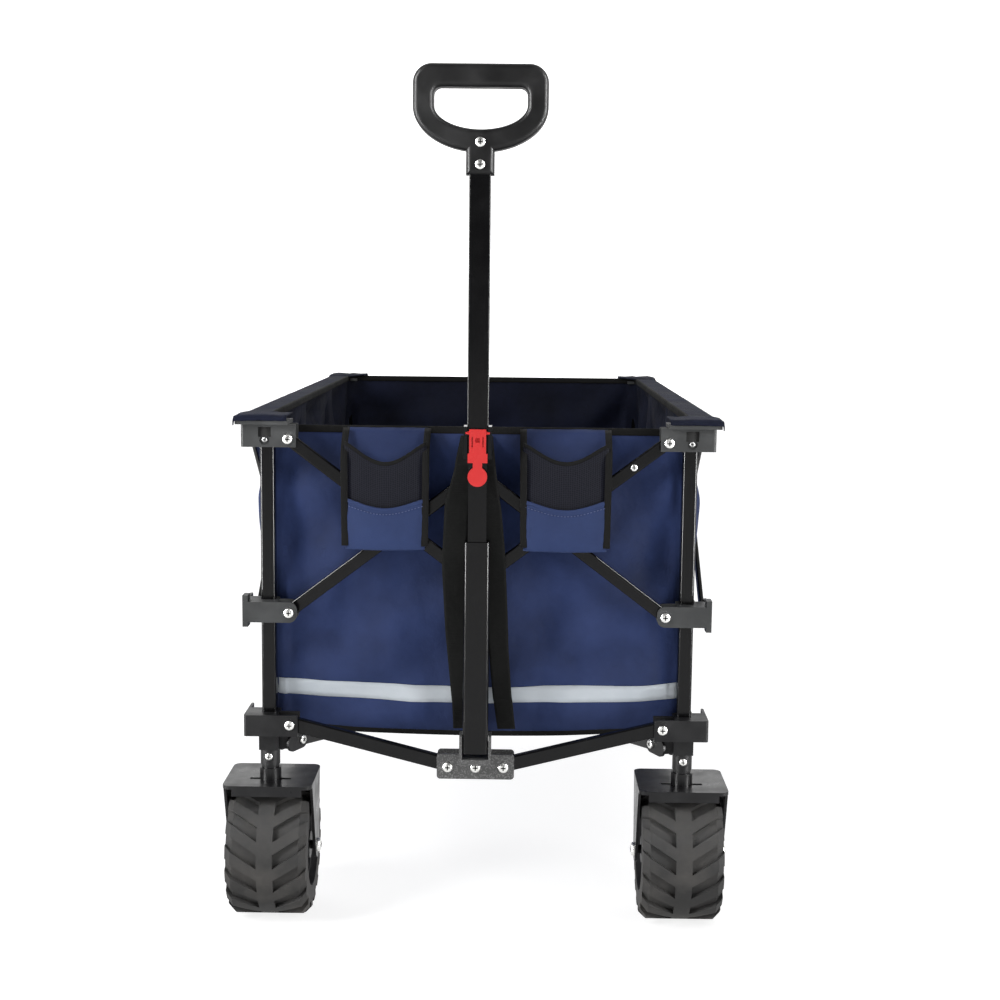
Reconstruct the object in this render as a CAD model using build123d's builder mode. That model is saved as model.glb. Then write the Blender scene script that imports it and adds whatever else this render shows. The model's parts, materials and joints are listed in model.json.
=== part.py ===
from build123d import *
import math
import os

os.makedirs("parts", exist_ok=True)

# Folding beach cart, in millimetres. X is across, Y is along with the front at -Y, Z is up from the ground.
post_x = 232  # centre of a corner post from the middle
post_y = 432
post_size = 16
post_wall = 1.5
post_bottom = 207
post_top = 565

end_pin_in = 25  # how far the front and rear pins are inboard of the posts
side_pin_in = 20
top_pin_z = 549
slide_pin_z = 357
low_pin_z = 230
scissor_rise = 157  # how far each front bar climbs from a corner to the middle
bar_width = 14
end_bar_thick = 6
side_bar_thick = 5
pin_radius = 3
pin_play = 0.05

wheel_radius = 77
wheel_width = 90
wheel_trail = 22  # the wheels sit this far towards the middle from the posts
axle_radius = 5
rim_radius = 46
lug_count = 16
lug_height = 5
fork_inside = 94
fork_sheet = 3
fork_plate_z = 158
stem_radius = 8

hub_pin_x = 31
hub_pin_z = 185.5
diagonal_pin = (206, 412, 203)
diagonal_drop = 41.4
centre_reach = 67  # centre hub pins from the middle

bag_x = 234  # inner faces of the side walls
bag_y = 418.5
bag_floor_z = 222
bag_rim_z = 563
cloth = 2

handle_out = 34  # the handle stands this far in front of the front posts
handle_pin_z = 214
lower_tube = (28, 22)
middle_tube = (20, 16)
upper_tube = (23, 19)
lower_tube_top = 441
upper_tube_bottom = 532
grip_top = 945
grip_width = 142
grip_hole = 98

end_pin_x = post_x - end_pin_in
side_pin_y = post_y - side_pin_in
bar_tilt = math.atan2(end_pin_x, scissor_rise)
cross_share = (top_pin_z - slide_pin_z) / (2 * scissor_rise)
end_bar_length = math.hypot(end_pin_x, scissor_rise)
outer_arm = cross_share * end_bar_length
inner_arm = (2 * side_pin_y / math.sin(bar_tilt) - 2 * outer_arm) / 4

corners = {"front_left": (-1, -1), "front_right": (1, -1), "rear_left": (-1, 1), "rear_right": (1, 1)}


# A box from its low and high limits, cut or added in the builder in use.
def block(x, y, z, mode=Mode.ADD):
    x, y, z = sorted(x), sorted(y), sorted(z)
    with Locations((sum(x) / 2, sum(y) / 2, sum(z) / 2)):
        Box(x[1] - x[0], y[1] - y[0], z[1] - z[0], mode=mode)


# The same, from distances outward from a corner post's centre.
def corner_block(side, u, v, z, mode=Mode.ADD):
    sx, sy = side
    x = [sx * (post_x + d) for d in u]
    y = [sy * (post_y + d) for d in v]
    block(x, y, z, mode)


def rod(start, end, radius, mode=Mode.ADD):
    line = Vector(*end) - Vector(*start)
    with BuildSketch(Plane(origin=start, z_dir=line)) as disc:
        Circle(radius)
    extrude(disc.sketch, amount=line.length, mode=mode)


def corner_rod_y(side, u, v, z, radius, mode=Mode.ADD):
    sx, sy = side
    x = sx * (post_x + u)
    rod((x, sy * (post_y + v[0]), z), (x, sy * (post_y + v[1]), z), radius, mode)


def corner_rod_x(side, u, v, z, radius, mode=Mode.ADD):
    sx, sy = side
    y = sy * (post_y + v)
    rod((sx * (post_x + u[0]), y, z), (sx * (post_x + u[1]), y, z), radius, mode)


# Arms of a corner bracket: a slot for the end bars towards the middle and one for the side bars.
def bracket_arms(side, low, high):
    corner_block(side, (-34, 26), (3, 24), (low, high))
    corner_block(side, (8.6, 26), (-31, 24), (low, high))
    corner_block(side, (-11, 26), (-11, 24), (low, high))
    corner_block(side, (-40, -11), (6.5, 20.5), (low - 1, high + 1), Mode.SUBTRACT)
    corner_block(side, (11, 23), (-40, -11), (low - 1, high + 1), Mode.SUBTRACT)


def soften(builder, size):
    edges = builder.edges().filter_by(Axis.Z)
    outer = [e for e in edges if abs(e.center().X) > post_x + 20 and abs(e.center().Y) > post_y + 20]
    if outer:
        fillet(outer, size)


# A pin through a slot with a collar that fills the layer no bar is in.
def end_pin(side, z, front_layer):
    collar = (7, 13) if front_layer else (14.4, 20.5)
    corner_rod_y(side, -end_pin_in, (3, 24), z, pin_radius)
    corner_rod_y(side, -end_pin_in, collar, z, 5)


def side_pin(side, z, outer_layer):
    collar = (11, 16.5) if outer_layer else (17.4, 23)
    corner_rod_x(side, (9, 26), -side_pin_in, z, pin_radius)
    corner_rod_x(side, collar, -side_pin_in, z, 5)


# Bars of a scissor: in which layer each one lies.
def end_front_layer(side, rising):
    return (side[0] * side[1] > 0) != rising


# A flat bar with round ends between two pins, with its thickness along the pins.
def flat_bar(start, end, pin_axis, width, thick, holes=(0, 1)):
    start, end = Vector(*start), Vector(*end)
    run = end - start
    span = run.length
    plane = Plane(origin=(start + end) / 2, x_dir=run, z_dir=Vector(*pin_axis))
    with BuildPart() as bar:
        with BuildSketch(plane):
            SlotCenterToCenter(span, width)
        extrude(amount=thick / 2, both=True)
        flats = bar.faces().filter_by(plane)
        fillet(flats.edges(), min(1.8, thick / 2 - 0.4))
        for share in holes:
            at = start + run * share
            half = Vector(*pin_axis) * thick
            rod(tuple(at - half), tuple(at + half), pin_radius + pin_play, Mode.SUBTRACT)
    return bar.part


def save(shape, name):
    shape.label = name
    export_step(shape, f"parts/{name}.step")


# Posts, and the three brackets on each.
for corner, side in corners.items():
    with BuildPart() as post:
        corner_block(side, (-8, 8), (-8, 8), (post_bottom, post_top))
        fillet(post.edges().filter_by(Axis.Z), 3)
        inner = 8 - post_wall
        corner_block(side, (-inner, inner), (-inner, inner), (post_bottom - 1, post_top + 1), Mode.SUBTRACT)
    save(post.part, f"post_{corner}")

    with BuildPart() as top_bracket:
        bracket_arms(side, 540, 565)
        corner_block(side, (-8, 8), (-8, 8), (539, 566), Mode.SUBTRACT)
        soften(top_bracket, 3)
        corner_block(side, (-26, 31), (-26, 31), (565, 569))
        corner_block(side, (-31, -12), (-31, -12), (560, 575), Mode.SUBTRACT)
        corner_block(side, (-7, 7), (21.5, 26), (551, 562), Mode.SUBTRACT)
        corner_rod_y(side, 0, (22, 26), 548, 5.5, Mode.SUBTRACT)
        for u, v in ((20, -16), (20, 20), (-16, 20)):
            corner_block(side, (u - 4, u + 4), (v - 4, v + 4), (569, 572))
        end_pin(side, top_pin_z, end_front_layer(side, False))
        side_pin(side, top_pin_z, side[0] * side[1] > 0)
    save(top_bracket.part, f"top_bracket_{corner}")

    with BuildPart() as slide_bracket:
        bracket_arms(side, 346, 369)
        corner_block(side, (-8.15, 8.15), (-8.15, 8.15), (345, 370), Mode.SUBTRACT)
        soften(slide_bracket, 4)
        upright = slide_bracket.edges().filter_by(Axis.Y)
        fillet([e for e in upright if abs(abs(e.center().X) - post_x + 34) < 0.1], 9)
        corner_block(side, (20, 26), (8, 24), (341, 376))
        end_pin(side, slide_pin_z, end_front_layer(side, True))
        side_pin(side, slide_pin_z, side[0] * side[1] < 0)
    save(slide_bracket.part, f"slide_bracket_{corner}")

    with BuildPart() as low_bracket:
        bracket_arms(side, 217, 241)
        corner_block(side, (-11, 11), (-11, 12), (198, 217))
        soften(low_bracket, 3)
        foot = (side[0] * post_x, side[1] * post_y)
        rod((*foot, 180), (*foot, 200), 11)
        corner_rod_y(side, -end_pin_in, (3, 24), low_pin_z, pin_radius)
        corner_rod_y(side, -end_pin_in, (6.5, 8.4), low_pin_z, 6)
        corner_rod_y(side, -end_pin_in, (18.8, 20.5), low_pin_z, 6)
        # The ear that holds the floor diagonal: two cheeks along it, joined to the leg.
        across = Vector(side[0] * 2, -side[1], 0).normalized()
        along = Vector(side[0], side[1] * 2, 0).normalized()
        pin = Vector(side[0] * diagonal_pin[0], side[1] * diagonal_pin[1], diagonal_pin[2])
        for cheek in (-7.5, 7.5):
            centre = pin + across * cheek
            with BuildSketch(Plane(origin=centre, x_dir=along, z_dir=across)):
                with Locations((8, 0)):
                    SlotCenterToCenter(18, 20)
            extrude(amount=1.5, both=True)
        bridge = pin + along * 17
        with Locations(Plane(origin=bridge, x_dir=along, z_dir=(0, 0, 1)).location):
            Box(8, 16, 14)
        corner_block(side, (-24, -9), (-9, 3), (197, 212))
        rod(tuple(pin - across * 9), tuple(pin + across * 9), pin_radius)
        corner_block(side, (-8, 8), (-8, 8), (post_bottom, 242), Mode.SUBTRACT)
        if side[1] < 0:
            rod((*foot, 179), (*foot, 201), stem_radius + 0.08, Mode.SUBTRACT)
        else:
            # The rear forks don't turn, so they are one piece with their brackets.
            wheel_y = side[1] * (post_y - wheel_trail)
            middle = side[0] * post_x
            half = fork_inside / 2
            block((middle - half - 3, middle + half + 3), (wheel_y - 38, wheel_y + 42), (158, 162))
            rod((*foot, 161), (*foot, 181), 10)
            for outward in (-1, 1):
                face = middle + outward * (half + fork_sheet / 2)
                with BuildSketch(Plane(origin=(face, wheel_y, 0), x_dir=(0, 1, 0), z_dir=(1, 0, 0))):
                    Polygon((-38, 160), (42, 160), (13, 72), (-13, 72), align=None)
                    with Locations((0, 77)):
                        Circle(14)
                extrude(amount=fork_sheet / 2, both=True)
            rod((middle - half - 3, wheel_y, 77), (middle + half + 3, wheel_y, 77), axle_radius)
    save(low_bracket.part, f"low_bracket_{corner}")

# Front caster forks: a bent sheet over the wheel, the stem and the axle.
for corner, side in list(corners.items())[:2]:
    wheel_y = side[1] * (post_y - wheel_trail)
    middle = side[0] * post_x
    half = fork_inside / 2
    with BuildPart() as fork:
        block((middle - half - 3, middle + half + 3), (wheel_y - 54, wheel_y + 34), (158, 162))
        fillet(fork.edges().filter_by(Axis.Z), 9)
        block((middle - half + 8, middle + half - 8), (wheel_y - 54, wheel_y - 51), (150, 160))
        for outward in (-1, 1):
            face = middle + outward * (half + fork_sheet / 2)
            with BuildSketch(Plane(origin=(face, wheel_y, 0), x_dir=(0, 1, 0), z_dir=(1, 0, 0))):
                Polygon((-44, 160), (24, 160), (13, 72), (-13, 72), align=None)
                with Locations((0, 77)):
                    Circle(14)
            extrude(amount=fork_sheet / 2, both=True)
        rod((middle - half - 3, wheel_y, 77), (middle + half + 3, wheel_y, 77), axle_radius)
        foot = (side[0] * post_x, side[1] * post_y)
        rod((*foot, 161), (*foot, 176), 12)
        rod((*foot, 175), (*foot, 179.6), 10)
        rod((*foot, 161), (*foot, 200), stem_radius)
        with Locations((middle, side[1] * post_y - 2, 162)):
            Box(46, 6, 2, mode=Mode.SUBTRACT)
    save(fork.part, f"caster_fork_{corner}")

# Wheels: a wide tyre with slanted lugs, on a rim.
for corner, side in corners.items():
    wheel_y = side[1] * (post_y - wheel_trail)
    middle = side[0] * post_x
    base = wheel_radius - lug_height
    half = wheel_width / 2
    with BuildPart() as shell:
        Cylinder(wheel_radius, wheel_width, rotation=(0, 90, 0))
        chamfer(shell.edges().filter_by(GeomType.CIRCLE), 7)
        Cylinder(base - 14, wheel_width + 2, rotation=(0, 90, 0), mode=Mode.SUBTRACT)
    with BuildPart() as lug_pair:
        for outward in (-1, 1):
            with BuildSketch(Plane.XY.offset(base - 15)):
                inner, outer = outward * 8, outward * half
                with BuildLine():
                    Polyline((inner, -17), (inner, -3), (outer, 21), (outer, 7), close=True)
                make_face()
            extrude(amount=lug_height + 20)
        add(shell.part, mode=Mode.INTERSECT)
    with BuildPart() as tyre:
        Cylinder(base, wheel_width, rotation=(0, 90, 0))
        chamfer(tyre.edges().filter_by(GeomType.CIRCLE), 8)
        Cylinder(wheel_radius, 18, rotation=(0, 90, 0))
        for number in range(lug_count):
            add(lug_pair.part.rotate(Axis.X, 360 * number / lug_count))
        Cylinder(rim_radius, wheel_width + 2, rotation=(0, 90, 0), mode=Mode.SUBTRACT)
    with BuildPart() as rim:
        Cylinder(rim_radius - 0.05, 76, rotation=(0, 90, 0))
        for outward in (-1, 1):
            with Locations((outward * 27, 0, 0)):
                Cylinder(38, 26, rotation=(0, 90, 0), mode=Mode.SUBTRACT)
        Cylinder(15, 84, rotation=(0, 90, 0))
        Cylinder(axle_radius + 0.06, 90, rotation=(0, 90, 0), mode=Mode.SUBTRACT)
        for number in range(6):
            turn = math.radians(60 * number)
            with Locations((0, 27 * math.cos(turn), 27 * math.sin(turn))):
                Cylinder(5.5, 40, rotation=(0, 90, 0), mode=Mode.SUBTRACT)
    hub_at = Vector(middle, wheel_y, wheel_radius)
    largest = [shape.part.solids().sort_by(SortBy.VOLUME)[-1] for shape in (tyre, rim)]
    save(Compound([solid.translate(hub_at) for solid in largest]), f"wheel_{corner}")

# End scissors: a falling and a rising bar from each corner, in two layers.
for corner, side in corners.items():
    sx, sy = side
    for rising in (False, True):
        start_z = slide_pin_z if rising else top_pin_z
        end_z = start_z + (scissor_rise if rising else -scissor_rise)
        front = end_front_layer(side, rising)
        y = sy * (post_y + (17 if front else 10))
        start, end = (sx * end_pin_x, y, start_z), (0, y, end_z)
        bar = flat_bar(start, end, (0, 1, 0), bar_width, end_bar_thick, holes=(0,))
        cross_x = sx * end_pin_x * (1 - cross_share)
        cross_z = start_z + (end_z - start_z) * cross_share
        near = sy * (post_y + 6.2)
        far = sy * (post_y + 20.8)
        pin_start = (cross_x, near, cross_z)
        pin_end = (cross_x, far, cross_z)
        with BuildPart() as end_bar:
            add(bar)
            if rising:
                rod(pin_start, pin_end, pin_radius + pin_play, Mode.SUBTRACT)
            else:
                rod(pin_start, pin_end, pin_radius)
            if front:
                rod((0, y, end_z), (0, far, end_z), 4.5)
        save(end_bar.part, f"end_{'rising' if rising else 'falling'}_bar_{corner}")

# Side scissors: three crossings on each side, every bar in one of two layers.
arms = {"front": (outer_arm, inner_arm), "middle": (inner_arm, inner_arm), "rear": (inner_arm, outer_arm)}
reach = math.sin(bar_tilt)
drop = math.cos(bar_tilt)
mid_z = (top_pin_z + slide_pin_z) / 2
centre_y = {"front": -side_pin_y + outer_arm * reach, "middle": 0, "rear": side_pin_y - outer_arm * reach}
for name, sx in (("left", -1), ("right", 1)):
    for cell, (before, after) in arms.items():
        for rising in (False, True):
            sign = 1 if rising else -1
            start_y = centre_y[cell] - before * reach
            end_y = centre_y[cell] + after * reach
            start_z = mid_z - sign * before * drop
            end_z = mid_z + sign * after * drop
            outer = (sx < 0) != rising
            x = sx * (post_x + (19.9 if outer else 13.9))
            start, end = (x, start_y, start_z), (x, end_y, end_z)
            bar = flat_bar(start, end, (1, 0, 0), bar_width, side_bar_thick, holes=())
            near = sx * (post_x + 10.7)
            far = sx * (post_x + 23.1)
            holes = []
            pins = []
            if rising:
                holes.append((centre_y[cell], mid_z))
            else:
                pins.append((centre_y[cell], mid_z))
            if cell == "front":
                holes.append((start_y, start_z))
                pins.append((end_y, end_z))
            if cell == "middle":
                holes.append((start_y, start_z))
            if cell == "rear":
                holes.append((end_y, end_z))
            with BuildPart() as side_bar:
                add(bar)
                for y, z in holes:
                    rod((near, y, z), (far, y, z), pin_radius + pin_play, Mode.SUBTRACT)
                for y, z in pins:
                    rod((near, y, z), (far, y, z), pin_radius)
            save(side_bar.part, f"side_{name}_{cell}_{'rising' if rising else 'falling'}_bar")

# Lower front arms and the hub they and the handle meet at.
for name, sx in (("left", -1), ("right", 1)):
    y = -post_y - 13.6
    start, end = (sx * end_pin_x, y, low_pin_z), (sx * hub_pin_x, y, hub_pin_z)
    save(flat_bar(start, end, (0, 1, 0), 16, 9.6), f"lower_arm_{name}")

pin_y = -post_y - handle_out
with BuildPart() as front_hub:
    block((-43, 43), (-post_y - 26, -post_y - 3), (172, 200))
    fillet(front_hub.edges().filter_by(Axis.Y), 4)
    block((-60, 60), (-post_y - 20.5, -post_y - 6.5), (175, 201), Mode.SUBTRACT)
    block((-15, 15), (-post_y - 21, -post_y - 6), (174, 200))
    for sx in (-1, 1):
        across = sx * hub_pin_x
        rod((across, -post_y - 26, hub_pin_z), (across, -post_y - 3, hub_pin_z), pin_radius)
        block((sx * 14.5, sx * 17.5), (pin_y - 11, -post_y - 24), (193, 226))
    block((-17.5, 17.5), (pin_y - 11, -post_y - 24), (193, 199.5))
    rod((-17.5, pin_y, handle_pin_z), (17.5, pin_y, handle_pin_z), 4)
save(front_hub.part, "front_hub")

# Floor diagonals and the hub in the middle under the floor.
plan = math.hypot(diagonal_pin[0], diagonal_pin[1])
hub_ends = {}
for corner, (sx, sy) in corners.items():
    along = Vector(sx * diagonal_pin[0] / plan, sy * diagonal_pin[1] / plan, 0)
    across = Vector(along.Y, -along.X, 0)
    start = along * plan + Vector(0, 0, diagonal_pin[2])
    end = along * centre_reach + Vector(0, 0, diagonal_pin[2] - diagonal_drop)
    hub_ends[corner] = (end, along, across)
    diagonal = flat_bar(tuple(start), tuple(end), tuple(across), 18, 9)
    save(diagonal, f"diagonal_{corner}")

with BuildPart() as centre_hub:
    with Locations((0, 0, 148)):
        Cylinder(58, 4)
    for end, along, across in hub_ends.values():
        for cheek in (-6.6, 6.6):
            with BuildSketch(Plane(origin=end + across * cheek, x_dir=along, z_dir=across)):
                Circle(8)
                with Locations((-10, -7)):
                    Rectangle(24, 16)
            extrude(amount=1.5, both=True)
        rod(tuple(end - across * 8), tuple(end + across * 8), pin_radius)
save(centre_hub.part, "centre_hub")

# The cloth tub: four walls and a floor, each a flat panel here.
floor_low = bag_floor_z - cloth
inside = bag_y - 0.4
for name, sy in (("front", -1), ("rear", 1)):
    with BuildPart() as wall:
        block((-bag_x + 0.4, bag_x - 0.4), (sy * bag_y, sy * (bag_y + cloth)), (bag_floor_z, bag_rim_z))
    save(wall.part, f"bag_wall_{name}")
for name, sx in (("left", -1), ("right", 1)):
    with BuildPart() as wall:
        block((sx * bag_x, sx * (bag_x + cloth)), (-inside, inside), (bag_floor_z, bag_rim_z))
    save(wall.part, f"bag_wall_{name}")
with BuildPart() as floor:
    block((-bag_x, bag_x), (-inside, inside), (floor_low - 2, floor_low + 1.6))
save(floor.part, "bag_floor")


# A box-section tube standing on the handle's line.
def handle_section(size, low, high, wall):
    w, d = size
    with BuildPart() as section:
        block((-w / 2, w / 2), (pin_y - d / 2, pin_y + d / 2), (low, high))
        fillet(section.edges().filter_by(Axis.Z), 4)
        w, d = w - 2 * wall, d - 2 * wall
        block((-w / 2, w / 2), (pin_y - d / 2, pin_y + d / 2), (low - 1, high + 1), Mode.SUBTRACT)
    return section.part


# The handle: a lower tube on the hub, a middle tube held in it, an upper tube that slides on that.
lower_shell = handle_section(lower_tube, handle_pin_z - 8, lower_tube_top, 2)
with BuildPart() as lower:
    add(lower_shell)
    block((-13, 13), (pin_y - 10, pin_y + 10), (handle_pin_z - 7.5, handle_pin_z + 12))
    rod((-20, pin_y, handle_pin_z), (20, pin_y, handle_pin_z), 4 + pin_play, Mode.SUBTRACT)
    block((-12.5, 12.5), (pin_y - 9.5, pin_y + 9.5), (lower_tube_top - 30, lower_tube_top))
    block((-10, 10), (pin_y - 8, pin_y + 8), (lower_tube_top - 31, lower_tube_top + 1), Mode.SUBTRACT)
save(lower.part, "handle_lower_tube")
with BuildPart() as middle_section:
    half_w, half_d = middle_tube[0] / 2, middle_tube[1] / 2
    block((-half_w, half_w), (pin_y - half_d, pin_y + half_d), (lower_tube_top - 30, 780))
    half_w, half_d = half_w - 1.5, half_d - 1.5
    block((-half_w, half_w), (pin_y - half_d, pin_y + half_d), (400, 790), Mode.SUBTRACT)
save(middle_section.part, "handle_middle_tube")

with BuildPart() as upper:
    w, d = upper_tube
    block((-w / 2, w / 2), (pin_y - d / 2, pin_y + d / 2), (upper_tube_bottom, 850))
    fillet(upper.edges().filter_by(Axis.Z), 1.4)
    block((-10.1, 10.1), (pin_y - 8.1, pin_y + 8.1), (upper_tube_bottom - 1, 846), Mode.SUBTRACT)
    for sx in (-1, 1):
        block((sx * 11, sx * 15), (pin_y - 15, pin_y + 6), (upper_tube_bottom, 567))
    rod((-13.2, pin_y - 13.5, 560), (13.2, pin_y - 13.5, 560), 1.85, Mode.SUBTRACT)
save(upper.part, "handle_upper_tube")

# The outline of the grip and of its hole: straight sides, round upper corners, half an ellipse below.
def grip_outline(half_width, side_low, side_high, top, drop):
    corner = top - side_high
    bend = corner * math.sqrt(0.5)
    with BuildLine() as outline:
        EllipticalCenterArc((0, side_low), half_width, drop, 180, arc_size=180)
        Line((half_width, side_low), (half_width, side_high))
        right = (half_width - corner + bend, side_high + bend)
        ThreePointArc((half_width, side_high), right, (half_width - corner, top))
        Line((half_width - corner, top), (corner - half_width, top))
        left = (corner - half_width - bend, side_high + bend)
        ThreePointArc((corner - half_width, top), left, (-half_width, side_high))
        Line((-half_width, side_high), (-half_width, side_low))
    return outline.line


outer_line = grip_outline(grip_width / 2, grip_top - 44, grip_top - 20, grip_top, 46)
hole_line = grip_outline(grip_hole / 2, grip_top - 42, grip_top - 32, grip_top - 24, 25)
with BuildPart() as grip:
    with BuildSketch(Plane.XZ.offset(-pin_y)):
        with BuildLine():
            add(outer_line)
        make_face()
        with Locations((0, grip_top - 99)):
            Rectangle(30, 30)
        with BuildLine():
            add(hole_line)
        make_face(mode=Mode.SUBTRACT)
    extrude(amount=13, both=True)
    fillet(grip.faces().filter_by(Axis.Y).edges(), 5.5)
    block((-11.5, 11.5), (pin_y - 9.5, pin_y + 9.5), (820, 850), Mode.SUBTRACT)
save(grip.part, "grip")

# The release lever rocks on a pin between the rails of the upper tube.
lever_y = pin_y - 11
with BuildPart() as lever:
    block((-9, 9), (lever_y - 5, lever_y), (534, 564))
    block((-10.6, 10.6), (lever_y - 5, lever_y), (528, 538))
    block((-5, 5), (lever_y - 5, lever_y), (518, 530))
    with BuildSketch(Plane.XZ.offset(-(lever_y - 2.5))):
        with Locations((0, 513)):
            Circle(10.5)
    extrude(amount=2.5, both=True)
    rod((-13, lever_y - 2.5, 560), (13, lever_y - 2.5, 560), 1.8)
    block((-2.5, 2.5), (lever_y - 6, lever_y - 2), (550, 555), Mode.SUBTRACT)
    for sx in (-1, 1):
        block((sx * 5, sx * 6.5), (lever_y - 6, lever_y - 3), (545, 556), Mode.SUBTRACT)
save(lever.part, "release_lever")
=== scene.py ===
import json
import math

import bmesh
import bpy
from mathutils import Matrix, Vector, noise


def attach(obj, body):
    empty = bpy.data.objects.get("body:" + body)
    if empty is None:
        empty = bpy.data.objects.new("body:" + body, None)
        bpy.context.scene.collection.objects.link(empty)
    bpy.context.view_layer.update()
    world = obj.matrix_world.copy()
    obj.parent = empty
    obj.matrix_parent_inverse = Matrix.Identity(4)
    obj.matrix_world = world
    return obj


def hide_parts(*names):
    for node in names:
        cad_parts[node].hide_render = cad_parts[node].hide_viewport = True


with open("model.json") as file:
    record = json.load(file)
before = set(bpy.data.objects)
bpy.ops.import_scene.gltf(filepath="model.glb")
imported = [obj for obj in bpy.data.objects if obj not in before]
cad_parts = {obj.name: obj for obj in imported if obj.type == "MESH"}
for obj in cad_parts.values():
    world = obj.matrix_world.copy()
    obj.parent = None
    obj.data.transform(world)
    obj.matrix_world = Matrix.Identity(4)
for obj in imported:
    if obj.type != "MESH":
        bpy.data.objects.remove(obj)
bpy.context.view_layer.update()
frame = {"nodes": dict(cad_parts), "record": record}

# Lengths in metres, in the row frame: X across, Y along with the front at -Y, Z up.
POST_X, POST_Y = 0.232, 0.432
TUB_X, TUB_Y, TUB_R = 0.2350, 0.4190, 0.022
TUB_LOW, RIM, CLOTH = 0.221, 0.560, 0.0012
HANDLE_Y = -0.466
END_PIN, SIDE_PIN = 0.207, 0.412
TOP_Z, SLIDE_Z, LOW_Z = 0.549, 0.357, 0.230
AXLE_Z, WHEEL_Y, RIM_RADIUS = 0.077, 0.410, 0.0462
CORNERS = {"front_left": (-1, -1), "front_right": (1, -1), "rear_left": (-1, 1), "rear_right": (1, 1)}


def clamp(value):
    return min(1, max(0, value))


def eased(t):
    """A smooth step from 0 to 1."""
    return t * t * (3 - 2 * t)


def add_object(name, data):
    obj = bpy.data.objects.new(name, data)
    bpy.context.collection.objects.link(obj)
    return obj


# ---------------------------------------------------------------- materials
def shader(name, colour, rough, metal=0.0, coat=0.0, sheen=0.0, spec=0.5):
    m = bpy.data.materials.new(name)
    m.use_nodes = True
    n = m.node_tree.nodes
    p = n["Principled BSDF"]
    p.inputs["Base Color"].default_value = (*colour, 1)
    p.inputs["Roughness"].default_value = rough
    p.inputs["Metallic"].default_value = metal
    p.inputs["Coat Weight"].default_value = coat
    p.inputs["Coat Roughness"].default_value = 0.12
    p.inputs["Sheen Weight"].default_value = sheen
    p.inputs["Sheen Roughness"].default_value = 0.45
    p.inputs["Specular IOR Level"].default_value = spec
    coords = n.new("ShaderNodeTexCoord")
    return m, n, m.node_tree.links, p, coords.outputs["Object"]


def noise_node(n, links, where, scale, detail=3.0):
    t = n.new("ShaderNodeTexNoise")
    t.inputs["Scale"].default_value = scale
    t.inputs["Detail"].default_value = detail
    links.new(where, t.inputs["Vector"])
    return t.outputs["Fac"]


def spread_to(n, links, value, low, high, start=0.3, end=0.7):
    r = n.new("ShaderNodeMapRange")
    r.inputs["From Min"].default_value = start
    r.inputs["From Max"].default_value = end
    r.inputs["To Min"].default_value = low
    r.inputs["To Max"].default_value = high
    links.new(value, r.inputs["Value"])
    return r.outputs["Result"]


def mix_colour(n, links, factor, a, b):
    x = n.new("ShaderNodeMix")
    x.data_type = "RGBA"
    x.inputs["A"].default_value = (*a, 1)
    x.inputs["B"].default_value = (*b, 1)
    links.new(factor, x.inputs["Factor"])
    return x.outputs["Result"]


def math_node(n, links, kind, a, b=None):
    x = n.new("ShaderNodeMath")
    x.operation = kind
    for k, v in enumerate((a, b)):
        if v is None:
            continue
        if isinstance(v, (int, float)):
            x.inputs[k].default_value = v
        else:
            links.new(v, x.inputs[k])
    return x.outputs["Value"]


def bump(n, links, height, strength, distance, normal=None):
    b = n.new("ShaderNodeBump")
    b.inputs["Strength"].default_value = strength
    b.inputs["Distance"].default_value = distance
    links.new(height, b.inputs["Height"])
    if normal is not None:
        links.new(normal, b.inputs["Normal"])
    return b.outputs["Normal"]


def enamel(name, colour, rough, coat):
    """Powder-coated steel: faint orange peel, small scuffs and dust."""
    m, n, links, p, at = shader(name, colour, rough, coat=coat, spec=0.15)
    peel = noise_node(n, links, at, 900, 2)
    scuff = noise_node(n, links, at, 38, 6)
    links.new(spread_to(n, links, scuff, rough * 0.8, rough * 1.7), p.inputs["Roughness"])
    dusty = tuple(min(1, c * 1.6 + 0.004) for c in colour)
    dust = spread_to(n, links, scuff, 0, 0.55, 0.55, 0.8)
    links.new(mix_colour(n, links, dust, colour, dusty), p.inputs["Base Color"])
    links.new(bump(n, links, peel, 0.12, 0.0003), p.inputs["Normal"])
    return m


def moulded(name, colour, rough, grain=1400, speckle=None):
    """Injection-moulded plastic: fine grain, worn patches, and speckles if asked."""
    m, n, links, p, at = shader(name, colour, rough, spec=0.2)
    fine = noise_node(n, links, at, grain, 2)
    wear = noise_node(n, links, at, 30, 5)
    links.new(spread_to(n, links, wear, rough * 0.85, rough * 1.25), p.inputs["Roughness"])
    pale = tuple(min(1, c * 1.5 + 0.01) for c in colour)
    factor = spread_to(n, links, wear, 0, 0.5, 0.45, 0.75)
    if speckle:
        dots = noise_node(n, links, at, 650, 1)
        factor = spread_to(n, links, dots, 0, 1, 0.52, 0.62)
        pale = speckle
    links.new(mix_colour(n, links, factor, colour, pale), p.inputs["Base Color"])
    links.new(bump(n, links, fine, 0.3, 0.0003), p.inputs["Normal"])
    return m


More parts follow.
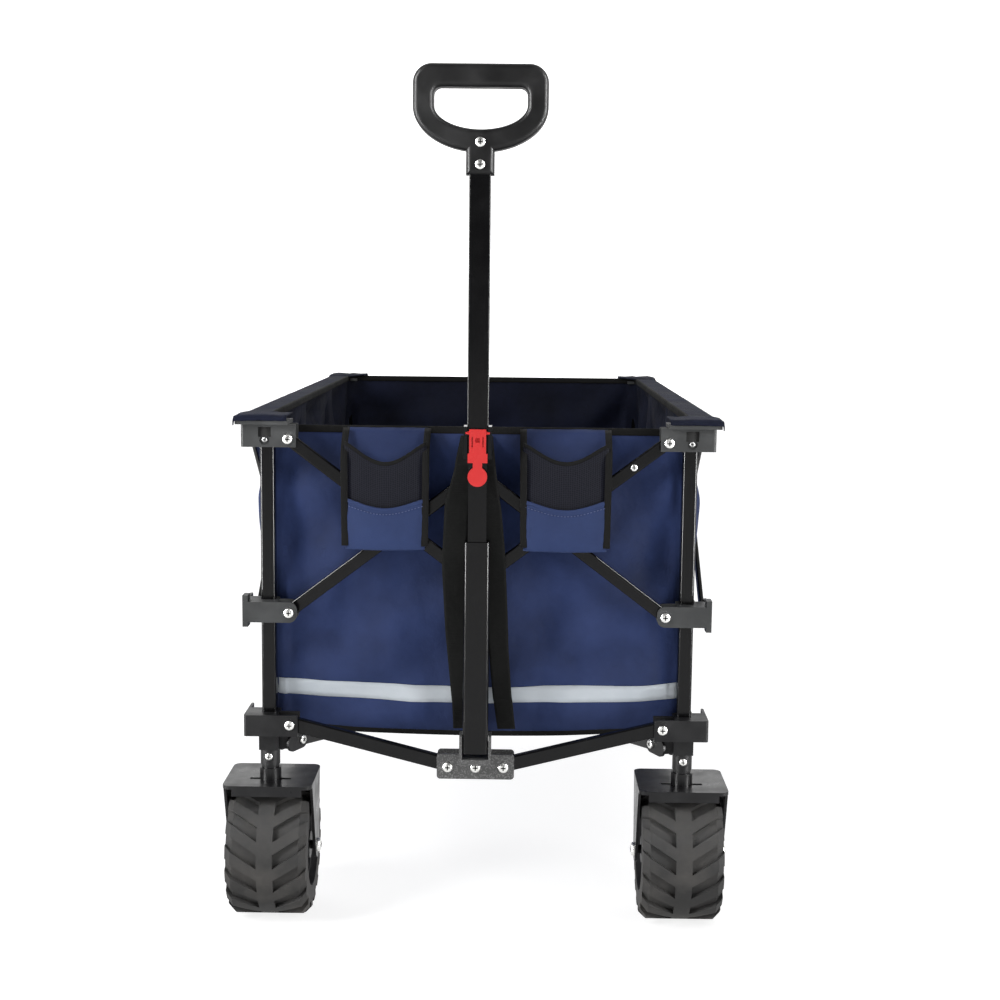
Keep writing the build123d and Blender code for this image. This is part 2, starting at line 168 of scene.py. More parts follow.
def woven(name, colour, deep, threads, rough=0.75, sheen=0.3, ribs=None):
    """Cloth: a plain weave, or ribs along one UV axis, with soft shade changes and small creases."""
    m, n, links, p, at = shader(name, colour, rough, sheen=sheen, spec=0.04)
    uv = n.new("ShaderNodeUVMap").outputs["UV"]
    parts = n.new("ShaderNodeSeparateXYZ")
    links.new(uv, parts.inputs["Vector"])
    waves = []
    for axis in ("X", "Y"):
        turned = math_node(n, links, "MULTIPLY", parts.outputs[axis], threads)
        waves.append(math_node(n, links, "SINE", turned))
    weave = math_node(n, links, "MULTIPLY", waves[0], waves[1])
    if ribs:
        weave = math_node(n, links, "SINE", math_node(n, links, "MULTIPLY", parts.outputs[ribs], threads))
    soft = noise_node(n, links, at, 14, 5)
    crease = noise_node(n, links, at, 55, 4)
    shade = mix_colour(n, links, spread_to(n, links, soft, 0, 1, 0.3, 0.75), deep, colour)
    links.new(shade, p.inputs["Base Color"])
    first = bump(n, links, weave, 0.25, 0.0003)
    folds = bump(n, links, soft, 0.45, 0.012, first)
    links.new(bump(n, links, crease, 0.4, 0.003, folds), p.inputs["Normal"])
    links.new(spread_to(n, links, soft, rough * 0.9, min(1, rough * 1.12)), p.inputs["Roughness"])
    return m


def netting(name, colour, hole):
    """Pocket mesh: an opaque dark knit, with darker dots for its holes."""
    m, n, links, p, at = shader(name, colour, 0.8, spec=0.05)
    uv = n.new("ShaderNodeUVMap").outputs["UV"]
    cells = n.new("ShaderNodeTexVoronoi")
    cells.inputs["Scale"].default_value = 420
    cells.inputs["Randomness"].default_value = 0.15
    links.new(uv, cells.inputs["Vector"])
    inside = spread_to(n, links, cells.outputs["Distance"], 1, 0, 0.25, 0.45)
    links.new(mix_colour(n, links, inside, colour, hole), p.inputs["Base Color"])
    links.new(bump(n, links, inside, -0.5, 0.0004), p.inputs["Normal"])
    return m


def tyre_rubber(name):
    """Dark moulded rubber with patches of dust."""
    m, n, links, p, at = shader(name, (0.03, 0.029, 0.028), 0.72, spec=0.2)
    fine = noise_node(n, links, at, 1100, 2)
    dust = noise_node(n, links, at, 24, 6)
    dusty = spread_to(n, links, dust, 0, 0.8, 0.4, 0.8)
    shade = mix_colour(n, links, dusty, (0.022, 0.0215, 0.021), (0.085, 0.079, 0.073))
    links.new(shade, p.inputs["Base Color"])
    links.new(spread_to(n, links, dust, 0.6, 0.9), p.inputs["Roughness"])
    links.new(bump(n, links, fine, 0.35, 0.0005), p.inputs["Normal"])
    return m


def plated(name, colour, rough):
    m, n, links, p, at = shader(name, colour, rough, metal=1.0)
    fine = noise_node(n, links, at, 500, 4)
    links.new(spread_to(n, links, fine, rough * 0.7, rough * 1.5), p.inputs["Roughness"])
    links.new(bump(n, links, fine, 0.1, 0.0002), p.inputs["Normal"])
    return m


NAVY = woven("navy_weave", (0.037, 0.057, 0.158), (0.020, 0.031, 0.086), 4200, 0.75, 0.04)
NAVY_INSIDE = woven("navy_inside", (0.011, 0.014, 0.034), (0.005, 0.0065, 0.016), 4200, 0.8, 0.02)
NAVY_POCKET = woven("navy_pocket", (0.036, 0.057, 0.150), (0.026, 0.041, 0.112), 4200, 0.75, 0.04)
BINDING = woven("black_binding", (0.012, 0.012, 0.012), (0.007, 0.007, 0.007), 3000, 0.85, 0.03, "X")
WEBBING = woven("black_webbing", (0.012, 0.0125, 0.012), (0.006, 0.006, 0.006), 2400, 0.8, 0.04, "Y")
REFLECT = woven("reflective_tape", (0.62, 0.66, 0.70), (0.50, 0.55, 0.60), 3600, 0.38, 0.0)
MESH = netting("pocket_mesh", (0.013, 0.014, 0.022), (0.004, 0.004, 0.008))
THREAD = woven("pale_thread", (0.10, 0.13, 0.28), (0.07, 0.09, 0.2), 2000)
SCREW = plated("zinc_screw", (0.72, 0.72, 0.70), 0.28)
DULL = plated("dull_screw", (0.20, 0.20, 0.20), 0.45)
# Near-black painted shade: the screw heads' cross recesses and the backs of the bracket windows are flat
# faces in this colour, standing in for the shade inside them.
RECESS_SHADE = moulded("recess_painted_shade", (0.004, 0.004, 0.004), 0.7)
RIM_PLASTIC = moulded("wheel_rim", (0.03, 0.03, 0.032), 0.4)
BASE_BOARD = woven("base_cloth", (0.022, 0.030, 0.09), (0.014, 0.02, 0.06), 4200)

FINISHES = {
    "navy_cloth": NAVY,
    "black_tube": enamel("gloss_black_tube", (0.003, 0.003, 0.0035), 0.16, 0.12),
    "grey_casting": moulded("grey_bracket", (0.040, 0.042, 0.043), 0.48),
    "black_casting": moulded("black_bracket", (0.007, 0.007, 0.008), 0.4),
    "hub_grey": moulded("speckled_hub", (0.085, 0.085, 0.085), 0.5, speckle=(0.19, 0.19, 0.19)),
    "fork_black": enamel("fork_paint", (0.009, 0.009, 0.010), 0.28, 0.15),
    "tyre_rubber": tyre_rubber("lug_rubber"),
    "grip_black": moulded("grip_grain", (0.006, 0.006, 0.0065), 0.4, grain=2200),
    "lever_red": moulded("red_lever", (0.66, 0.035, 0.035), 0.3),
}
for part in frame["record"]["subparts"]:
    node = frame["nodes"][part["node"]]
    node.data.materials.clear()
    node.data.materials.append(FINISHES[part["material_slot"]])
    if part["node"].startswith("wheel_"):
        node.data.materials.append(RIM_PLASTIC)
        corner = part["node"].removeprefix("wheel_")
        for polygon in node.data.polygons:
            y = polygon.center.y - CORNERS[corner][1] * WHEEL_Y
            z = polygon.center.z - AXLE_Z
            if math.hypot(y, z) < RIM_RADIUS:
                polygon.material_index = 1


# ---------------------------------------------------------------- soft goods
def grid(name, across, along, place, material, thick=0.0, closed=False, lining=None):
    """A sheet from place(u, v), with u and v from 0 to 1; its UVs are in metres."""
    points = [place(i / across, j / along) for j in range(along + 1) for i in range(across + 1)]
    row = across + 1
    faces = [
        (j * row + i, j * row + i + 1, (j + 1) * row + i + 1, (j + 1) * row + i)
        for j in range(along)
        for i in range(across)
    ]
    mesh = bpy.data.meshes.new(name)
    mesh.from_pydata([tuple(p) for p in points], [], faces)
    width = sum((Vector(points[i + 1]) - Vector(points[i])).length for i in range(across))
    height = sum((Vector(points[(j + 1) * row]) - Vector(points[j * row])).length for j in range(along))
    layer = mesh.uv_layers.new(name="UVMap")
    for loop in mesh.loops:
        j, i = divmod(loop.vertex_index, row)
        layer.data[loop.index].uv = (i / across * width, j / along * height)
    mesh.materials.append(material)
    mesh.polygons.foreach_set("use_smooth", [True] * len(mesh.polygons))
    obj = add_object(name, mesh)
    if closed:
        b = bmesh.new()
        b.from_mesh(mesh)
        bmesh.ops.remove_doubles(b, verts=b.verts, dist=1e-5)
        b.to_mesh(mesh)
        b.free()
    if thick:
        s = obj.modifiers.new("thick", "SOLIDIFY")
        s.thickness = thick
        s.offset = 0
        if lining:
            mesh.materials.append(lining)
            s.material_offset = 1
    return obj


def tub_outline(s):
    """A point on the rounded tub outline, s from 0 to 1, from the front's middle leftwards."""
    a, b, r = TUB_X - TUB_R, TUB_Y - TUB_R, TUB_R
    arc = math.pi / 2 * r
    d = s * (4 * a + 4 * b + 4 * arc)
    runs = [((0, -b - r), (-1, 0), a), ((-a, -b), math.pi * 1.5, arc), ((-a - r, -b), (0, 1), 2 * b)]
    runs += [((-a, b), math.pi, arc), ((-a, b + r), (1, 0), 2 * a), ((a, b), math.pi / 2, arc)]
    runs += [((a + r, b), (0, -1), 2 * b), ((a, -b), 0, arc), ((a, -b - r), (-1, 0), a)]
    for start, way, length in runs:
        if d <= length + 1e-9:
            if isinstance(way, tuple):
                return start[0] + way[0] * d, start[1] + way[1] * d
            turn = way - d / r
            return start[0] + r * math.cos(turn), start[1] + r * math.sin(turn)
        d -= length
    return 0, -b - r


TUB_AROUND = 4 * (TUB_X - TUB_R) + 4 * (TUB_Y - TUB_R) + 2 * math.pi * TUB_R


def outward_of(p):
    """The outward direction at an outline point, worked out from where it lies."""
    x, y = p
    cx = max(-(TUB_X - TUB_R), min(TUB_X - TUB_R, x))
    cy = max(-(TUB_Y - TUB_R), min(TUB_Y - TUB_R, y))
    v = Vector((x - cx, y - cy, 0))
    return v.normalized() if v.length > 1e-6 else Vector((0, -1, 0))


def wave(x, y, z, scale):
    return noise.noise(Vector((x * scale, y * scale, z * scale)))


RIM_RISE, RIM_RISE_LENGTH = 0.0115, 0.06


def rim_height(y):
    """The rim runs level with the top brackets along the sides and rear, and a little lower at the front."""
    return RIM + RIM_RISE * eased(clamp((y + TUB_Y) / RIM_RISE_LENGTH))


# The side scissors: their bars rise BAR_RISE over a run of END_PIN. An arm goes from a crossing to a pin.
BAR_RISE = 0.157
SHARE = (TOP_Z - SLIDE_Z) / (2 * BAR_RISE)
TILT = math.atan2(END_PIN, BAR_RISE)
OUTER_ARM = SHARE * math.hypot(END_PIN, BAR_RISE)
INNER_ARM = (2 * SIDE_PIN / math.sin(TILT) - 2 * OUTER_ARM) / 4
CROSSINGS = (-SIDE_PIN + OUTER_ARM * math.sin(TILT), 0.0, SIDE_PIN - OUTER_ARM * math.sin(TILT))


BRACKET_HALF, BRACKET_START, BRACKET_SLACK = 0.016, 0.398, 0.006


def bar_gap(y, z):
    """How far a point of a side wall is from the nearest scissor bar or bracket beside it."""
    rise = z - (TOP_Z + SLIDE_Z) / 2
    best = 1.0
    for k, crossing in enumerate(CROSSINGS):
        before = OUTER_ARM if k == 0 else INNER_ARM
        after = OUTER_ARM if k == 2 else INNER_ARM
        for sign in (-1, 1):
            way = (math.sin(TILT), sign * math.cos(TILT))
            along = (y - crossing) * way[0] + rise * way[1]
            along = min(after, max(-before, along))  # the bar ends at its pins
            best = min(best, math.hypot(y - crossing - along * way[0], rise - along * way[1]))
    for level in (TOP_Z, SLIDE_Z, LOW_Z):
        away = max(0, abs(z - level) - BRACKET_HALF), max(0, BRACKET_START - abs(y))
        best = min(best, math.hypot(*away) + BRACKET_SLACK)
    return best


# How far the tub's cloth leaves its outline. The ends hang looser than the sides.
END_BULGE, SIDE_BULGE = 0.010, 0.0045
END_SLACK, SIDE_SLACK = 0.0040, 0.0012
END_FAN, SIDE_FAN, CORNER_FAN, CORNER_REACH = 0.0030, 0.0012, 0.0042, 0.11
BROAD_RIPPLE, SMALL_RIPPLE, SIDE_RIPPLE_SHARE = 0.0075, 0.0022, 0.45
RIM_FADE, BASE_FADE, CORNER_SHARE = 0.05, 0.03, 0.35
BAR_CLEARANCE, PUFF_SPREAD, PUFF_START, PUFF_RISE = 0.010, 0.045, 0.02, 0.14
SIDE_PUFF, PUFF_FADE = 0.0150, 0.03
FLAT_LIMIT, PUFF_LIMIT = 0.0056, 0.0165
FARTHEST_IN, BASE_DROOP = -0.012, 0.009


def tub_point(s, z, off=0.0):
    """Where the tub's cloth hangs: it bulges between its held edges and creases at the corners."""
    x, y = p = tub_outline(s % 1.0)
    n = outward_of(p)
    up = (z - TUB_LOW) / (RIM - TUB_LOW)
    hang = max(0, math.sin(math.pi * clamp(up))) ** 0.8
    on_end = abs(n.y) > 0.9
    share = abs(x) / TUB_X if on_end else abs(y) / TUB_Y
    mid = math.cos(math.pi / 2 * min(1, share))
    bulge = (END_BULGE if on_end else SIDE_BULGE) * hang * (0.25 + 0.75 * mid)
    ripple = BROAD_RIPPLE * wave(x, y, z * 0.5, 12) + SMALL_RIPPLE * wave(x + 5, y, z * 0.7, 34)
    if on_end:
        slack = END_SLACK * math.sin(x * 46 + z * 16 + 1.2) * hang
        fan = END_FAN * math.sin((x * 30 - z * 62) + 2.4 * wave(x, y, z, 9))
        from_corner = TUB_X - abs(x)
        nearest = max(0, 1 - from_corner / CORNER_REACH)
        fan += CORNER_FAN * nearest * math.sin(70 * from_corner + 34 * z + 3 * wave(x, 2, z, 7))
    else:
        slack = SIDE_SLACK * math.sin(y * 40 + z * 22) * hang
        fan = SIDE_FAN * math.sin(y * 26 + z * 55 + 2 * wave(x, y, z, 8))
        ripple *= SIDE_RIPPLE_SHARE
    edge = min(1.0, (RIM - z) / RIM_FADE) * min(1.0, (z - TUB_LOW) / BASE_FADE + 0.25)
    corner = CORNER_SHARE if abs(n.x) > 0.05 and abs(n.y) > 0.05 else 1.0
    out = bulge + (slack + fan + ripple) * edge * corner
    if abs(n.x) > 0.5:
        # A side swells between the scissor bars, most near the top, and stays behind them.
        puff = eased(clamp((bar_gap(y, z) - BAR_CLEARANCE) / PUFF_SPREAD))
        puff *= 0.25 + 0.75 * clamp((z - SLIDE_Z - PUFF_START) / PUFF_RISE)
        out += SIDE_PUFF * puff * min(1, (RIM - z) / PUFF_FADE)
        out = min(out, FLAT_LIMIT + PUFF_LIMIT * puff)
    out = max(out, FARTHEST_IN)
    lift = (rim_height(y) - TUB_LOW) / (RIM - TUB_LOW)
    droop = BASE_DROOP * mid * (1 - min(1, up)) ** 2 if on_end else 0
    return Vector((x, y, TUB_LOW + (z - TUB_LOW) * lift - droop)) + n * (out + off)


fine = 1
AROUND_STEPS = 560 // fine


def tub_place(u, v):
    return tub_point(u, TUB_LOW + v * (RIM - TUB_LOW))


tub = grid("tub_cloth", AROUND_STEPS, 84 // fine, tub_place, NAVY_INSIDE, CLOTH, True, NAVY)
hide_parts("bag_wall_front", "bag_wall_rear", "bag_wall_left", "bag_wall_right")
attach(tub, "frame")


def band(name, low, high, off, material, start, end, steps, rows, thick):
    """A tape sewn round the tub between two heights, from outline share start to end."""

    def place(u, v):
        return tub_point(start + (end - start) * u, low + v * (high - low), off)

    obj = grid(name, steps, rows, place, material, thick, start == 0.0 and end == 1.0)
    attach(obj, "frame")
    return obj


BINDING_DROP = 0.0055


def rim_place(u, v):
    """The rim's binding: a rounded fold over the cloth's edge."""
    core = tub_point(u, RIM - 0.0005)
    n = outward_of((core.x, core.y))
    # The first and last quarters hang straight down, and the middle half turns over the edge.
    drop = BINDING_DROP * max(0, 0.25 - v, v - 0.75) / 0.25
    around = math.pi * clamp((v - 0.25) / 0.5)
    return core + n * (0.0020 * math.cos(around)) + Vector((0, 0, 0.0022 * math.sin(around) - drop))


rim = grid("rim_binding", AROUND_STEPS, 16, rim_place, BINDING, 0.0006, True)
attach(rim, "frame")
low_edge, high_edge = TUB_LOW - 0.0008, TUB_LOW + 0.0045
base_band = band("base_binding", low_edge, high_edge, 0.0010, BINDING, 0.0, 1.0, AROUND_STEPS, 4, 0.0008)

# The reflective strips run a little way into the tub's rounded corners.
STRIP_LOW, STRIP_HIGH = 0.2580, 0.2762
front_half = (TUB_X - 0.003) / TUB_AROUND
for name, start, end in (
    ("strip_front_left", 0.0, front_half),
    ("strip_front_right", 1 - front_half, 1.0),
    ("strip_rear", 0.5 - front_half, 0.5 + front_half),
):
    tape = band(name, STRIP_LOW, STRIP_HIGH, 0.0011, REFLECT, start, end, 150 // fine, 3, 0.0004)


# Along each side the rim's cloth folds outward over the scissors and the top brackets.
LEDGE_Z, LEDGE_INNER, LEDGE_OUTER = 0.5722, 0.2340, 0.2645
LEDGE_HALF, LEDGE_TIP, LEDGE_END = 0.4655, 0.4600, 0.4648
BRACKET_LIFT, BRACKET_WIDENING = 0.0026, 0.0270
TOP_SHARE, OUTER_FALL, END_FALL = 0.8, 0.0060, 0.0050


def ledge(name, sx):
    """It widens and rises over the top brackets, and its outer edge and both ends turn down."""

    def place(u, v):
        y = (v - 0.5) * 2 * LEDGE_HALF
        near_end = clamp((abs(y) - 0.400) / 0.012)
        inner = LEDGE_INNER - BRACKET_WIDENING * near_end
        z = LEDGE_Z + BRACKET_LIFT * near_end + 0.0010 * wave(u * 2, y, 0, 26) * (0.3 + near_end)
        if u > TOP_SHARE:
            x = LEDGE_OUTER
            z -= OUTER_FALL * (u - TOP_SHARE) / (1 - TOP_SHARE)
        else:
            x = inner + (LEDGE_OUTER - inner) * (u / TOP_SHARE)
        z -= END_FALL * clamp((abs(y) - LEDGE_TIP) / 0.0055)
        y = math.copysign(min(abs(y), LEDGE_END), y)
        return Vector((sx * x, y, z))

    obj = grid(name, 12, 260 // fine, place, NAVY_INSIDE, CLOTH)
    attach(obj, "frame")
    return obj


ledges = [ledge("rim_ledge_left", -1), ledge("rim_ledge_right", 1)]


def floor_place(u, v):
    x = (u - 0.5) * 2 * (TUB_X - 0.002)
    y = (v - 0.5) * 2 * (TUB_Y - 0.002)
    flat = min(1, (1 - abs(u - 0.5) * 2) * 12, (1 - abs(v - 0.5) * 2) * 20)
    return Vector((x, y, TUB_LOW + 0.0015 + 0.0016 * flat * (wave(x, y, 0, 7) - 0.4)))


floor_cloth = grid("floor_cloth", 60, 100, floor_place, BASE_BOARD, 0.002)
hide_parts("bag_floor")
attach(floor_cloth, "frame")


# The two pockets on the front hang from the rim, over the scissor bars.
POCKET_TOP, POCKET_LOW, LIP_Z, LIP_SAG = 0.5600, 0.4300, 0.4865, 0.0105
NET_TOP, NET_BELLY, FRONT_BELLY = POCKET_TOP - 0.012, 0.0065, 0.013
STITCHES, STITCH_GAP = 26, 0.0054
BACK_BEND, SIDE_BEND, SIDE_WIDTH = 0.0335, 0.033, 0.0072


def pocket(name, low_x, high_x, scoop):
    """A navy back, a net that dips by scoop in the middle, a navy front below it, and black edges."""
    width = high_x - low_x
    top, bottom = POCKET_TOP, POCKET_LOW

    def sheet_at(gap, belly, low, high, sag):
        def place(u, v):
            x = low_x + u * width * (1 - 0.03 * (1 - v)) + 0.015 * width * (1 - v)
            z = low + v * (high - low) - sag * max(0, math.sin(math.pi * u)) ** 1.3 * v
            round_out = max(0, math.sin(math.pi * u)) ** 0.7
            fat = math.sin(math.pi * min(1, 0.18 + 0.62 * v)) if belly else 0
            crease = 0.0016 * wave(x * 1.4, gap, z, 34) * round_out
            return Vector((x, -POST_Y - 0.0222 - gap - belly * round_out * fat + crease, z))

        return place

    def back_place(u, v):
        p = sheet_at(0.0, 0.0, bottom, top, 0.0)(u, v)
        p.y += max(0, (v - 0.62) / 0.38) ** 2 * BACK_BEND
        return p

    back = grid(f"{name}_back", 24, 32, back_place, NAVY, 0.001)
    net_place = sheet_at(0.003, NET_BELLY, bottom + 0.0005, NET_TOP, scoop)
    net = grid(f"{name}_mesh", 28, 26, net_place, MESH, 0.0008)
    front_place = sheet_at(0.0046, FRONT_BELLY, bottom, LIP_Z, LIP_SAG)
    front = grid(f"{name}_front", 30, 22, front_place, NAVY_POCKET, 0.001)
    extras = []
    for hem, z, sag, gap, belly in (
        ("hem", LIP_Z, LIP_SAG, 0.0056, FRONT_BELLY),
        ("scoop", NET_TOP, scoop, 0.0036, NET_BELLY),
    ):

        def hem_place(u, v, z=z, sag=sag, gap=gap, belly=belly):
            p = sheet_at(gap, belly, z - 0.004, z, sag)(u, 1.0)
            p.z += (v - 1) * 0.0042
            return p

        cloth = BINDING if hem == "scoop" else NAVY_POCKET
        tape = grid(f"{name}_{hem}_tape", 30, 3, hem_place, cloth, 0.0010)
        extras.append(tape)
    seam = sheet_at(STITCH_GAP, FRONT_BELLY, bottom, LIP_Z, LIP_SAG)
    for k in range(STITCHES):
        u = (k + 0.5) / STITCHES
        p = seam(u, 0.86)
        q = seam(u + 0.02, 0.86)
        p.y -= 0.0004
        q.y -= 0.0004
        extras.append(stitch(f"{name}_stitch_{k}", p, q))
    for side, x in (("left", low_x), ("right", high_x)):

        def side_place(u, v, x=x, side=side):
            inward = 0.015 * width * (1 - v)
            at = x + inward if side == "left" else x - inward
            lean = 0.0006 * wave(x, v * 3, 0, 5)
            curve = max(0, (v - 0.72) / 0.28) ** 2 * SIDE_BEND
            y = -POST_Y - 0.0292 - 0.0012 * math.cos((u - 0.5) * 2.4) + curve + lean
            return Vector((at + (u - 0.5) * SIDE_WIDTH, y, bottom + 0.004 + v * (top - bottom - 0.004)))

        extras.append(grid(f"{name}_binding_{side}", 5, 34, side_place, BINDING, 0.0012))
    for piece in (back, net, front, *extras):
        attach(piece, "frame")


def stitch(name, a, b):
    """One thread stitch: a short flat bead."""
    mesh = bpy.data.meshes.new(name)
    w = Vector((0, 0, 0.00045))
    d = Vector((0, -0.0004, 0))
    corners = [tuple(v) for v in (a - w, b - w, b + w, a + w, a + d, b + d)]
    faces = [(0, 1, 5, 4), (4, 5, 2, 3), (0, 4, 3), (1, 2, 5), (0, 3, 2, 1)]
    mesh.from_pydata(corners, [], faces)
    mesh.uv_layers.new(name="UVMap")
    mesh.materials.append(THREAD)
    return add_object(name, mesh)


pocket("pocket_left", -0.1455, -0.0560, 0.022)
pocket("pocket_right", 0.0490, 0.1420, 0.020)


def strap(name, path, twist):
    """path lists (x, y, z, half width) from top to bottom."""

    def place(u, v):
        d = (1 - v) * (len(path) - 1)
        k = min(int(d), len(path) - 2)
        t = eased(d - k)
        x, y, z, half = (path[k][i] * (1 - t) + path[k + 1][i] * t for i in range(4))
        bow = 0.0008 * math.sin(v * 19 + twist)
        across = (u - 0.5) * 2
        x += across * half + 0.0010 * math.sin(v * 11 + twist)
        y += bow * across + 0.0006 * math.cos(v * 15)
        return Vector((x, y, z))

    obj = grid(name, 8, 90, place, WEBBING, 0.0013)
    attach(obj, "frame")


left_path = [
    (-0.010, -0.4225, 0.552, 0.009),
    (-0.014, -0.4535, 0.522, 0.011),
    (-0.0235, -0.4540, 0.480, 0.0135),
    (-0.0250, -0.4540, 0.420, 0.0135),
    (-0.0215, -0.4535, 0.330, 0.0115),
    (-0.0190, -0.4490, 0.262, 0.0090),
    (-0.0180, -0.4325, 0.223, 0.0085),
]
right_path = [
    (0.006, -0.4225, 0.552, 0.009),
    (0.009, -0.4535, 0.522, 0.011),
    (0.0130, -0.4540, 0.480, 0.0120),
    (0.0175, -0.4540, 0.420, 0.0125),
    (0.0245, -0.4535, 0.330, 0.0110),
    (0.0300, -0.4490, 0.262, 0.0105),
    (0.0330, -0.4325, 0.223, 0.0100),
]
strap("strap_left", left_path, 0.4)
strap("strap_right", right_path, 2.1)


# ---------------------------------------------------------------- fasteners
def screw(name, at, axis, radius, body, metal=SCREW):
    """A pan-head screw standing on a face, facing along axis."""
    mesh = bpy.data.meshes.new(name)
    b = bmesh.new()
    # The head's profile as (radius, height), in shares of the head's radius.
    rings = [(1.0, 0.0), (1.0, 0.28), (0.88, 0.42), (0.6, 0.5), (0.34, 0.52)]
    count = 24
    rows = []
    for r, h in rings:
        row = []
        for k in range(count):
            angle = 2 * math.pi * k / count
            row.append(b.verts.new((r * radius * math.cos(angle), r * radius * math.sin(angle), h * radius)))
        rows.append(row)
    for low, high in zip(rows, rows[1:]):
        for k in range(count):
            b.faces.new((low[k], low[(k + 1) % count], high[(k + 1) % count], high[k]))
    b.faces.new(rows[-1])
    # The cross recess is painted shade: two flat crossing faces just above the head, in near-black.
    for turn in (0, math.pi / 2):
        c, s = math.cos(turn), math.sin(turn)
        half, wide, top = 0.5 * radius, 0.12 * radius, 0.55 * radius
        corners = [(-half, -wide), (half, -wide), (half, wide), (-half, wide)]
        face = b.faces.new([b.verts.new((x * c - y * s, x * s + y * c, top)) for x, y in corners])
        face.material_index = 1
    b.to_mesh(mesh)
    b.free()
    mesh.uv_layers.new(name="UVMap")
    mesh.materials.append(metal)
    mesh.materials.append(RECESS_SHADE)
    for face in mesh.polygons:
        face.use_smooth = face.material_index == 0
    turn = Vector((0, 0, 1)).rotation_difference(Vector(axis)).to_matrix().to_4x4()
    mesh.transform(Matrix.Translation(Vector(at)) @ turn)
    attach(add_object(name, mesh), body)


def window(name, x, y, z, facing):
    """A near-black sheet at the back of the small window around a top bracket's screw into the post: painted
    shade for the window's depth.
    """
    mesh = bpy.data.meshes.new(name)
    half, tall = 0.0069 * facing, 0.0053
    low, high = z - tall, z + tall
    corners = [(x + half, y, low), (x - half, y, low), (x - half, y, high), (x + half, y, high)]
    mesh.from_pydata(corners, [], [(0, 1, 2, 3)])
    mesh.uv_layers.new(name="UVMap")
    mesh.materials.append(RECESS_SHADE)
    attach(add_object(name, mesh), "frame")


# Where the fasteners' seats are, and the radii of their heads.
END_FACE, SIDE_FACE, EAR_FACE, FORK_FACE = POST_Y + 0.0242, POST_X + 0.0262, 0.0092, 0.0501
PIN_HEAD, EAR_HEAD, NUT_HEAD = 0.0054, 0.0052, 0.0078

for corner, (sx, sy) in CORNERS.items():
    out = (0, sy, 0)
    face_y = sy * END_FACE
    for kind, z in (("top", TOP_Z), ("slide", SLIDE_Z), ("low", LOW_Z)):
        screw(f"screw_{kind}_end_{corner}", (sx * END_PIN, face_y, z), out, PIN_HEAD, "frame")
        side_x = sx * SIDE_FACE
        screw(f"screw_{kind}_side_{corner}", (side_x, sy * SIDE_PIN, z), (sx, 0, 0), PIN_HEAD, "frame")
    screw(f"screw_post_{corner}", (sx * POST_X, sy * (POST_Y + 0.0222), 0.548), out, 0.0030, "frame", DULL)
    window(f"window_{corner}", sx * POST_X, sy * (POST_Y + 0.0217), 0.5565, sy)
    screw(f"screw_stem_{corner}", (sx * POST_X, sy * (POST_Y + 0.0108), 0.190), out, 0.0042, "frame")
    ear = Vector((sx * 0.206, sy * 0.412, 0.203))
    across = Vector((sx * 2, -sy, 0)).normalized() * -1
    screw(f"screw_ear_{corner}", ear + across * EAR_FACE, across, EAR_HEAD, "frame")
    parent = f"caster_{'left' if sx < 0 else 'right'}" if sy < 0 else "frame"
    for outward in (-1, 1):
        nut = (sx * POST_X + outward * FORK_FACE, sy * WHEEL_Y, AXLE_Z)
        facing = "in" if outward * sx < 0 else "out"
        screw(f"axle_nut_{corner}_{facing}", nut, (outward, 0, 0), NUT_HEAD, parent)
# A rivet on the front's right falling bar.
screw("rivet_front_right", (0.170, -POST_Y - 0.0131, 0.521), (0, -1, 0), 0.0038, "frame")
for column, x in (("l", -0.031), ("m", 0), ("r", 0.031)):
    screw(f"screw_hub_{column}", (x, -POST_Y - 0.0261, 0.1855), (0, -1, 0), 0.0056, "frame")
for k, z in enumerate((0.8645, 0.8415)):
    screw(f"screw_grip_{k}", (0, HANDLE_Y - 0.0131, z), (0, -1, 0), 0.0052, "handle_top")


# ---------------------------------------------------------------- stage, light, camera
def glowing(name, grey, rough, strength):
    """A plain surface that also gives white light, so that it stays pale."""
    m, _, _, p, _ = shader(name, (grey, grey, grey), rough, spec=0.0)
    p.inputs["Emission Color"].default_value = (1, 1, 1, 1)
    p.inputs["Emission Strength"].default_value = strength
    return m


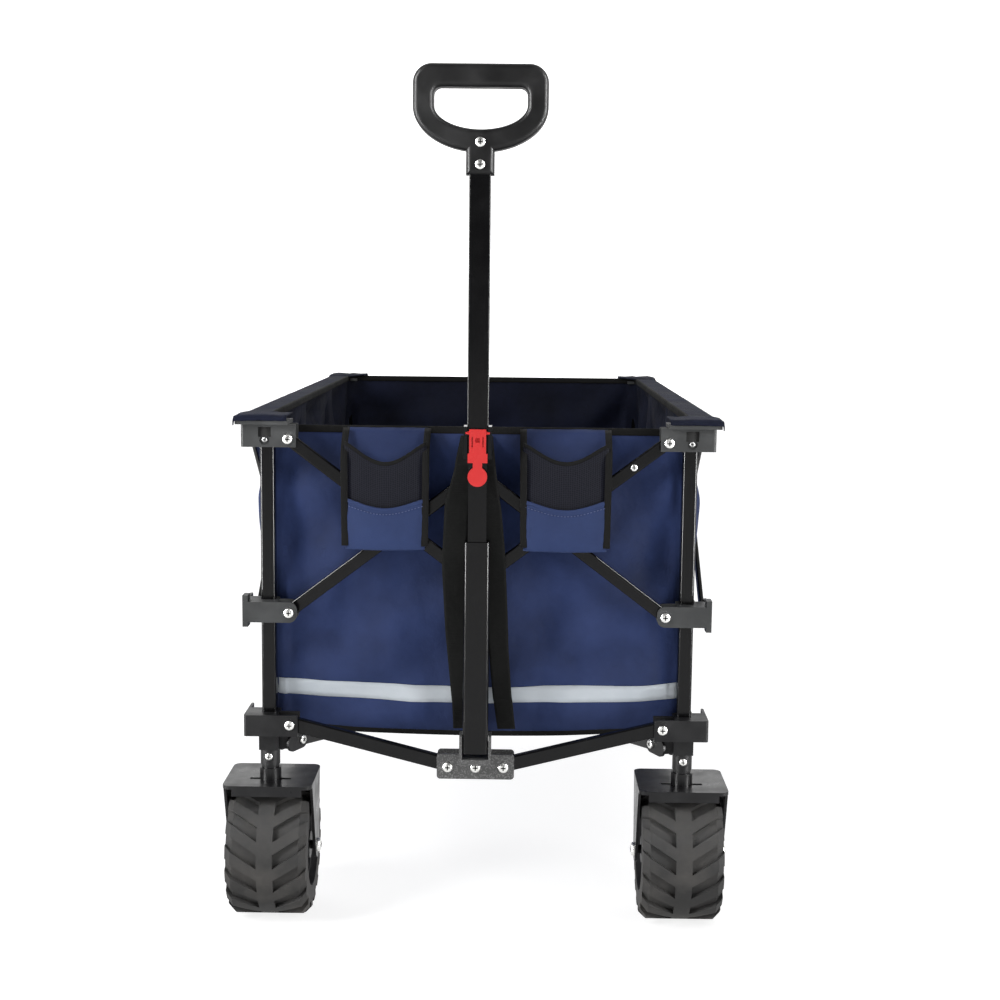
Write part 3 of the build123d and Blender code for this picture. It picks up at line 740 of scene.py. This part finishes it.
bpy.ops.mesh.primitive_plane_add(size=40, location=(0, 4, -0.0005))
ground = bpy.context.object
ground.name = "studio_floor"
ground.data.materials.append(glowing("studio_white", 0.45, 0.9, 0.82))
bpy.ops.mesh.primitive_plane_add(size=40, location=(0, 9, 0), rotation=(math.pi / 2, 0, 0))
backdrop = bpy.context.object
backdrop.name = "studio_backdrop"
backdrop.data.materials.append(glowing("backdrop_white", 1.0, 1.0, 1.0))

world = bpy.data.worlds.new("studio")
world.use_nodes = True
world.node_tree.nodes["Background"].inputs["Color"].default_value = (1, 1, 1, 1)
world.node_tree.nodes["Background"].inputs["Strength"].default_value = 0.16
bpy.context.scene.world = world


def lamp(name, at, aim, width, height, power):
    data = bpy.data.lights.new(name, "AREA")
    data.energy = power
    data.shape = "RECTANGLE"
    data.size, data.size_y = width, height
    obj = add_object(name, data)
    obj.location = at
    obj.rotation_euler = (Vector(aim) - Vector(at)).to_track_quat("-Z", "Y").to_euler()
    return obj


lamp("key", (-2.2, -2.0, 1.9), (0, -0.3, 0.35), 0.8, 1.2, 50)
lamp("fill", (2.1, -2.3, 1.4), (0, -0.3, 0.35), 0.8, 1.6, 22)
lamp("top", (0, 0.4, 3.2), (0, 0.1, 0.3), 2.6, 2.6, 16)
# Two tall strips that light only glossy reflections, for the bright lines on the tubes.
for name, side in (("strip_left", -1), ("strip_right", 1)):
    strip_lamp = lamp(name, (side * 1.7, -1.35, 0.75), (0, -0.4, 0.5), 0.4, 2.6, 240)
    strip_lamp.visible_diffuse = False

# The camera stands where a fit to points of the frame, rim and tyres puts it.
camera = add_object("camera", bpy.data.cameras.new("camera"))
camera.data.sensor_width = 36
camera.data.lens = 56.9
camera.data.dof.use_dof = False
yaw, pitch, roll = math.radians(-0.63), math.radians(7.41), math.radians(0.61)
forward = Vector((math.sin(yaw) * math.cos(pitch), math.cos(yaw) * math.cos(pitch), -math.sin(pitch)))
right = Vector((math.cos(yaw), -math.sin(yaw), 0))
up = right.cross(forward)
tilted = right * math.cos(roll) + up * math.sin(roll)
upright = up * math.cos(roll) - right * math.sin(roll)
turned = Matrix((tilted, upright, -forward)).transposed().to_4x4()
camera.matrix_world = Matrix.Translation((0.043, -2.161, 0.707)) @ turned
bpy.context.scene.camera = camera
bpy.context.scene.view_settings.view_transform = "Standard"
